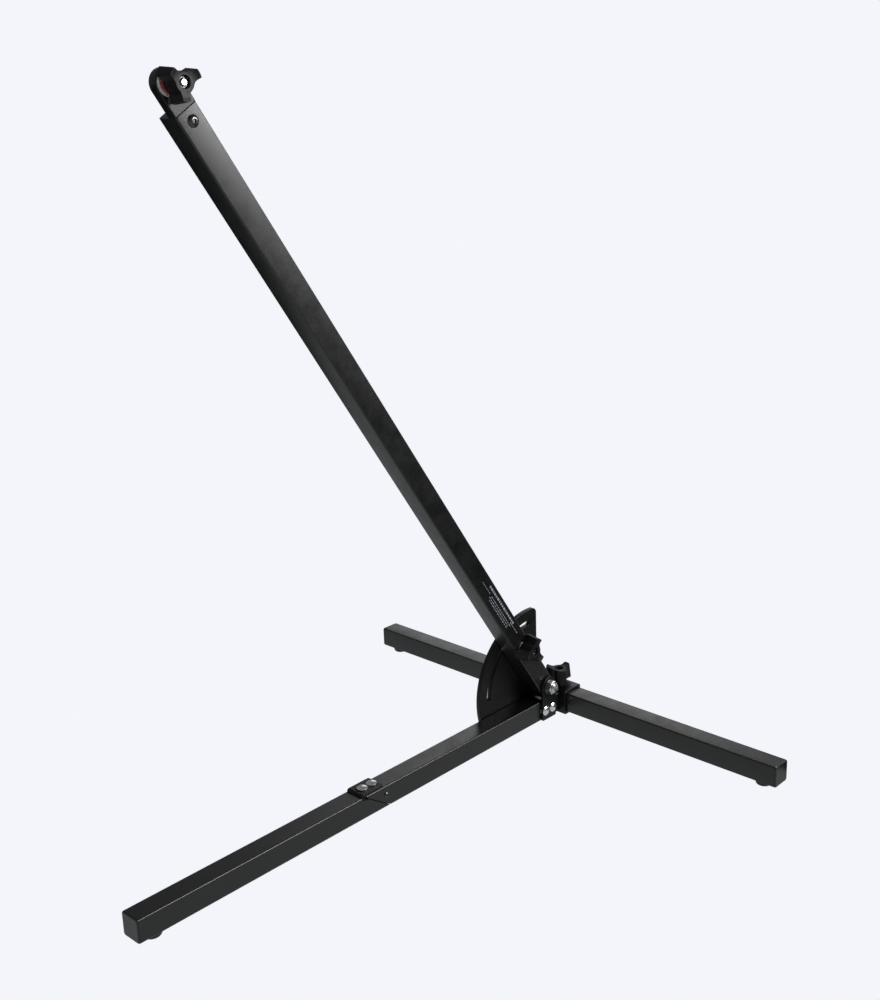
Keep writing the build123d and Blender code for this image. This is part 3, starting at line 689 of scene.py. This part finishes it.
# ---- quadrant, strap and pivot --------------------------------------------------
def make_side_plates():
    radius, rear, low, corner = 95.5, -11.5, 1.0 - PIVOT_Z, 7.0
    middle = math.sqrt((radius - corner) ** 2 - (rear + corner) ** 2)
    meet = math.degrees(math.atan2(middle, rear + corner))
    outline = arc_points(0, 0, radius, math.degrees(math.asin(low / radius)), meet, 72)
    outline += arc_points(rear + corner, middle, corner, meet, 180, 8)
    outline += arc_points(rear + corner, low + corner, corner, 180, 270, 8)
    half = SLOT_WIDTH / 2
    slot = arc_points(0, 0, SLOT_R + half, SLOT_FOOT, SLOT_HEAD, 48)
    top = arc_points(0, 0, SLOT_R, SLOT_HEAD, SLOT_HEAD, 1)[0]
    slot += arc_points(*top, half, SLOT_HEAD, SLOT_HEAD + 180, 12)[1:-1]
    slot += arc_points(0, 0, SLOT_R - half, SLOT_HEAD, SLOT_FOOT, 48)
    foot = arc_points(0, 0, SLOT_R, SLOT_FOOT, SLOT_FOOT, 1)[0]
    slot += arc_points(*foot, half, SLOT_FOOT + 180, SLOT_FOOT + 360, 12)[1:-1]
    place = PIVOT_PLACE @ at(0, -PLATE_FACE, 0) @ turned(90, "X")
    flat_shape("slotted_quadrant", [outline, slot], QUADRANT_PLATE, place, "base",
               SHADED_PLATE_PAINT, ("quadrant_plate",), 0.4)

    half = 12.7
    strap = arc_points(0, 0, half, 0, 180, 28)
    strap += arc_points(-half + 1.2, 0.3 - PIVOT_Z + 1.2, 1.2, 180, 270, 5)
    strap += arc_points(half - 1.2, 0.3 - PIVOT_Z + 1.2, 1.2, 270, 360, 5)
    place = PIVOT_PLACE @ at(0, STRAP_OUTSIDE, 0) @ turned(90, "X")
    flat_shape("pivot_strap", [strap], PLATE, place, "base", SHADED_PLATE_PAINT,
               ("strap_bracket",), 0.4)

    through = STRAP_OUTSIDE + QUADRANT_OUTSIDE + 6.4
    bolt = joined(dome(6.1, 3.0, 0.6), shank(3.1, -through, 0.3, 1.25, 0.3))
    nut = hexagon_nut(11.1, 3.2, 0.0, 5.5)
    heads, nuts, spacers = [], [], []
    for x in (PIVOT_X - 6.8, PIVOT_X + 6.8):
        heads.append(moved(bolt, at(x, STRAP_OUTSIDE, TUBE / 2) @ FACING_Y))
        nuts.append(moved(nut, at(x, -QUADRANT_OUTSIDE, TUBE / 2) @ FACING_MINUS_Y))
        for low in (TUBE / 2, -PLATE_FACE):
            spacers.append(moved(washer(6.2, 3.25, low, low + 0.5, 0.1), at(x, 0, TUBE / 2) @ FACING_Y))
    piece("base_domed_bolts", *joined(*heads), BASE, "base", "bright_steel", BRIGHT, ("base_bolts",),
          sharp=45)
    piece("base_hexagon_nuts", *joined(*nuts), BASE, "base", "bright_steel", BRIGHT, ("base_nuts",))
    piece("base_thin_washers", *joined(*spacers), BASE, "base", "bright_steel", BRIGHT,
          ("base_bolt_washers",))

    axis = PIVOT_PLACE @ FACING_Y
    front, back = STRAP_OUTSIDE + 1.6, -QUADRANT_OUTSIDE - 1.6
    stem = shank(4.75, back - 4.4, front + 9.4, 1.3, 0.45)
    head = hexagon_nut(14.3, 0.5, back - 6.2, back)
    piece("pivot_steel_bolt", *joined(stem, head), axis, "base", "bright_steel", BRIGHT, ("pivot_bolt",))
    piece("pivot_lock_nut", *lock_nut(14.3, 4.75, front, front + 8.0), axis, "base", "bright_steel", BRIGHT,
          ("pivot_nut",))
    discs = [washer(9.8, 4.8, low, low + 1.6, 0.25) for low in (STRAP_OUTSIDE, back)]
    piece("pivot_flat_washers", *joined(*discs), axis, "base", "black_steel", BLACK_STEEL,
          ("pivot_washers",))
    bush = washer(6.35, 4.8, -PLATE_FACE, PLATE_FACE)
    piece("pivot_plain_bush", *bush, axis, "base", "pale_nylon", NYLON, ("pivot_bush",))
    discs = [washer(10.5, 6.4, low, low + 0.44, 0.1) for low in (TUBE / 2 + 0.03, -PLATE_FACE + 0.03)]
    piece("mast_friction_discs", *joined(*discs), axis, "base", "pale_nylon", NYLON, ("friction_washers",))


def lock_nut(flats, bore, low, high):
    """Hexagon nut with a round collar on top."""
    body = hexagon_nut(flats, bore, low, high - 2.2)
    collar = washer(flats * 0.43, bore - 0.2, high - 2.6, high, 0.6)
    return joined(body, collar)


# ---- mast and head --------------------------------------------------------------
def make_mast():
    tube = square_tube(MAST_ABOVE + MAST_BELOW)
    piece("mast_black_tube", *tube, MAST @ at(0, 0, -MAST_BELOW), "mast", "black_paint", PAINT,
          ("mast_tube",))
    clamp = TILT @ FACING_Y
    back = -QUADRANT_OUTSIDE
    head = moved(dome(8.5, 3.6, 0.8), at(0, 0, back - 1.95) @ turned(180, "X"))
    stem = shank(STUD_R, back - 2.2, TUBE / 2 + 14.0, 1.25, 0.35)
    piece("tilt_carriage_bolt", *joined(head, stem), clamp, "mast", "bright_steel", BRIGHT, ("tilt_bolt",),
          sharp=45)
    for name, shape, node in (
            ("tilt_inside_tube", washer(6.3, 3.2, -11.05, 11.05), "tilt_crush_tube"),
            ("slot_flat_washer", washer(9.5, 3.2, back - 1.9, back - 0.1, 0.25), "tilt_slot_washer"),
            ("tilt_thin_spacer", washer(8.0, 3.2, -TUBE / 2 - 0.44, -TUBE / 2, 0.1), "tilt_spacer"),
            ("knob_flat_washer", washer(9.2, 3.2, TUBE / 2, TUBE / 2 + 1.6, 0.25), "tilt_knob_washer")):
        piece(name, *shape, clamp, "mast", "bright_steel", BRIGHT, (node,))


def make_head():
    blade = arc_points(0, 26.0, TUBE / 2, 0, 180, 40) + [(-TUBE / 2, 0.05), (TUBE / 2, 0.05)]
    # The blade's own XY plane is turned to stand along the mast, facing +Y.
    place = MAST @ at(0, TUBE / 2, MAST_ABOVE) @ turned(90, "X")
    flat_shape("head_blade", [blade], 11.0, place, "mast", HEAD_PAINT, (), 0.7)
    spigot = stack([[(u, v, z) for u, v in rounded_square(21.95, 1.0)] for z in (-32.0, 0.1)],
                   cap_first=True, cap_last=True)
    piece("head_spigot", *spigot, MAST @ at(0, 0, MAST_ABOVE), "mast", "black_paint", HEAD_PAINT,
          ("head_block",), 0.3)
    screws = []
    for side, facing in ((1, FACING_Y), (-1, FACING_MINUS_Y)):
        seat = at(0, side * TUBE / 2, MAST_ABOVE - 11.2) @ facing
        screws.append(moved(button_screw(5.7, 3.2, 2.9, 8.0), seat))
    piece("head_button_screws", *joined(*screws), MAST, "mast", "black_steel", BLACK_STEEL,
          ("head_screws",), sharp=40)
    axis = HEAD @ FACING_Y
    face = TUBE / 2
    piece("head_radial_teeth", *toothed_ring(), axis @ at(0, 0, face), "mast", "bright_steel", TEETH,
          ("toothed_ring",), sharp=25)
    low = face + 2.3
    piece("head_red_washer", *washer(10.3, 3.2, low, low + 2.6, 0.5, 96), axis, "mast", "red_plastic", RED,
          ("red_washer",))
    back = face - 11.0
    stem = shank(STUD_R, back - 2.0, low + 2.6 + 0.2 + HUB_TOP - 1.2, 1.27, 0.35)
    head = hexagon_nut(11.1, 0.5, back - 4.2, back)
    piece("head_clamp_bolt", *joined(stem, head), axis, "mast", "bright_steel", BRIGHT, ("head_bolt",))


def toothed_ring(teeth=30, per=8):
    """Disc with radial teeth: ridges deepen towards the rim."""
    count = teeth * per

    def ring(r, base, tall):
        points = []
        for i in range(count):
            phase = (i % per) / per
            ridge = max(0.0, min(1.0, 2.2 * (1 - abs(2 * phase - 1)) - 0.5))
            a = TAU * i / count
            points.append((r * math.cos(a), r * math.sin(a), base + tall * ridge))
        return points
    rings = [ring(3.2, 0.0, 0), ring(12.0, 0.0, 0), ring(12.0, 0.5, 0), ring(11.9, 1.2, 0.9),
             ring(11.4, 1.4, 0.9), ring(7.6, 1.4, 0.85), ring(7.2, 1.4, 0.0), ring(3.4, 1.4, 0),
             ring(3.2, 1.2, 0), ring(3.2, 0.0, 0)]
    return stack(rings)


def make_knobs():
    seat = TILT @ FACING_Y @ at(0, 0, TUBE / 2 + 1.7)
    knob("lobed_tilt_knob", "tilt_knob", seat, 95.0, "tilt_knob_turning", STUD_R)
    seat = HEAD @ FACING_Y @ at(0, 0, TUBE / 2 + 5.0)
    knob("lobed_head_knob", "head_knob", seat, 54.0, "head_knob_turning", STUD_R, 0.91)
    seat = BASE @ at(0, 0, TUBE / 2 + SLEEVE / 2 + 3.6)
    made = piece("lobed_crossbar_knob", *knob_mesh(), seat @ turned(58.0, "Z"), "crossbar_knob_turning",
                 "knob_plastic", KNOB, ("crossbar_knob",), sharp=40)
    made.modifiers.new("smooth", "SUBSURF").levels = 1
    collar = lathe([(0.0, 0.5), (4.6, 0.5), (4.9, 0.8), (4.9, 13.9), (4.4, 14.4), (0.0, 14.4)])
    screw = joined(shank(3.95, -8.0, 1.0), collar)
    piece("crossbar_clamp_stud", *screw, seat, "crossbar_knob_turning", "black_steel", BLACK_STEEL,
          ("crossbar_clamp_screw",))


def make_print():
    """Plain worn bars where the stand carries print: no lettering."""
    rows = ((-6.2, 1.2, 120.0, 190.0, (3.2, 2.0, 4.4, 2.6)), (-0.8, 0.35, 184.0, 205.0, (2.8, 1.9)),
            (-3.4, 0.4, 105.0, 121.0, (3.0, 5.2)), (-0.6, 0.4, 122.0, 177.0, (4.4, 2.4, 3.2)),
            (2.2, 0.4, 126.0, 180.0, (2.6, 3.8, 5.0)), (4.8, 0.4, 126.0, 176.0, (3.6, 2.2, 4.6)))
    bars = []
    for across, half, start, end, lengths in rows:
        low, k = start, 0
        while low < end:
            high = low + lengths[k % len(lengths)]
            left, right = across - half, across + half
            corners = [(left, low), (right, low), (right, high), (left, high)]
            loops = [[(x, y, z) for x, z in corners] for y in (TUBE / 2 - 0.05, TUBE / 2 + 0.06)]
            bars.append(stack(loops, cap_first=True, cap_last=True))
            low = high + 1.5
            k += 1
    piece("mast_print_bars", *joined(*bars), MAST, "mast", "pale_nylon", INK)


make_crossbar()
make_sleeve()
make_leg()
make_hinge()
make_side_plates()
make_mast()
make_print()
make_head()
make_knobs()
frame["nodes"]["leg_catch_block"].data.materials[0] = INSIDE


# ---- studio ---------------------------------------------------------------------
def glossy_sheet(name, colour):
    """Even glow for what only reflections and bounced light see."""
    n = Nodes(name)
    n.set(Base_Color=(0.0, 0.0, 0.0), Emission_Color=colour, Emission_Strength=1.0, Roughness=1.0,
          Specular_IOR_Level=0.0)
    return n.material


def add_sheet(name, material, across_x, across_y, height):
    """Level sheet the camera doesn't see and that throws no shadow."""
    mesh = bpy.data.meshes.new(name)
    (x0, x1), (y0, y1) = across_x, across_y
    corners = [(x0, y0, height), (x1, y0, height), (x1, y1, height), (x0, y1, height)]
    mesh.from_pydata(corners, [], [(0, 1, 2, 3)])
    sheet = bpy.data.objects.new(name, mesh)
    bpy.context.scene.collection.objects.link(sheet)
    sheet.data.materials.append(material)
    sheet.visible_camera = sheet.visible_shadow = sheet.visible_transmission = False
    return sheet


def make_stage():
    """Pale seamless room: a floor and four far walls that glow evenly, so no horizon shows."""
    glow = Nodes("studio_sheet")
    soft = glow.noise(0.6, 2.0)
    tone = glow.mix(glow.ramp(soft, 0.3, 0.7, 0.0, 1.0), (0.893, 0.909, 0.953), (0.899, 0.916, 0.958))
    glow.link(tone, glow.shader.inputs["Emission Color"])
    glow.set(Base_Color=(0.0, 0.0, 0.0), Emission_Strength=1.0, Roughness=1.0, Specular_IOR_Level=0.0)
    size, tall = 9.0, 7.0
    corners = [(-size, -size, 0), (size, -size, 0), (size, size, 0), (-size, size, 0), (-size, -size, tall),
               (size, -size, tall), (size, size, tall), (-size, size, tall)]
    walls = [(0, 1, 5, 4), (1, 2, 6, 5), (2, 3, 7, 6), (3, 0, 4, 7)]
    for name, faces in (("floor", [(0, 1, 2, 3)]), ("far_walls", walls)):
        mesh = bpy.data.meshes.new(name)
        mesh.from_pydata(corners, [], faces)
        sheet = bpy.data.objects.new(name, mesh)
        bpy.context.scene.collection.objects.link(sheet)
        sheet.data.materials.append(glow.material)
        sheet.visible_diffuse = sheet.visible_glossy = False
        sheet.visible_shadow = name == "floor"
    add_sheet("bounce", glossy_sheet("floor_bounce", (0.52, 0.53, 0.54)), (-9.0, 9.0), (-9.0, 9.0), 0.001)
    # Black sheets on the floor to the side and behind that only glossy rays see: a painted dark reflection
    # of the far floor in the black paint.
    dark = glossy_sheet("painted_dark_reflection", (0.0, 0.0, 0.0))
    add_sheet("side_painted_dark_reflection", dark, (-6.0, -0.34), (0.1, 6.0), 0.004).visible_diffuse = False
    add_sheet("back_painted_dark_reflection", dark, (-6.0, 6.0), (-6.0, -0.6), 0.004).visible_diffuse = False


def area_light(name, place, look, size, power, colour=(1, 1, 1)):
    data = bpy.data.lights.new(name, "AREA")
    data.shape = "RECTANGLE"
    data.size, data.size_y = size
    data.energy = power
    data.color = colour
    lamp = bpy.data.objects.new(name, data)
    lamp.location = place
    lamp.rotation_euler = (Vector(look) - Vector(place)).to_track_quat("-Z", "Y").to_euler()
    bpy.context.scene.collection.objects.link(lamp)
    return lamp


def make_lights():
    world = bpy.data.worlds.new("studio")
    bpy.context.scene.world = world
    world.use_nodes = True
    sky = world.node_tree.nodes["Background"]
    sky.inputs["Color"].default_value = (0.93, 0.94, 1.0, 1.0)
    sky.inputs["Strength"].default_value = 0.22
    area_light("side_softbox", (-1.0, 1.6, 1.26), (0.2, 0, 0.78), (1.2, 0.75), 62).visible_diffuse = False
    area_light("back_softbox", (-2.5, -1.8, 1.35), (-0.3, -0.1, 0), (1.5, 1.5), 9)
    bpy.context.scene.view_settings.view_transform = "Standard"


def make_camera():
    data = bpy.data.cameras.new("camera")
    camera = bpy.data.objects.new("camera", data)
    right = Vector((-0.65051, 0.759363, -0.014289))
    down = Vector((0.214623, 0.165745, -0.962531))
    ahead = Vector((-0.728542, -0.629203, -0.270795))
    turn = Matrix((right, -down, -ahead)).transposed().to_4x4()
    camera.matrix_world = Matrix.Translation((0.86198, 0.95450, 0.75011)) @ turn
    data.lens = 46.29
    data.sensor_width = 36.0
    data.shift_x = -0.0870
    data.shift_y = -0.0347
    data.clip_start, data.clip_end = 0.05, 60.0
    bpy.context.scene.collection.objects.link(camera)
    bpy.context.scene.camera = camera


make_stage()
make_lights()
make_camera()
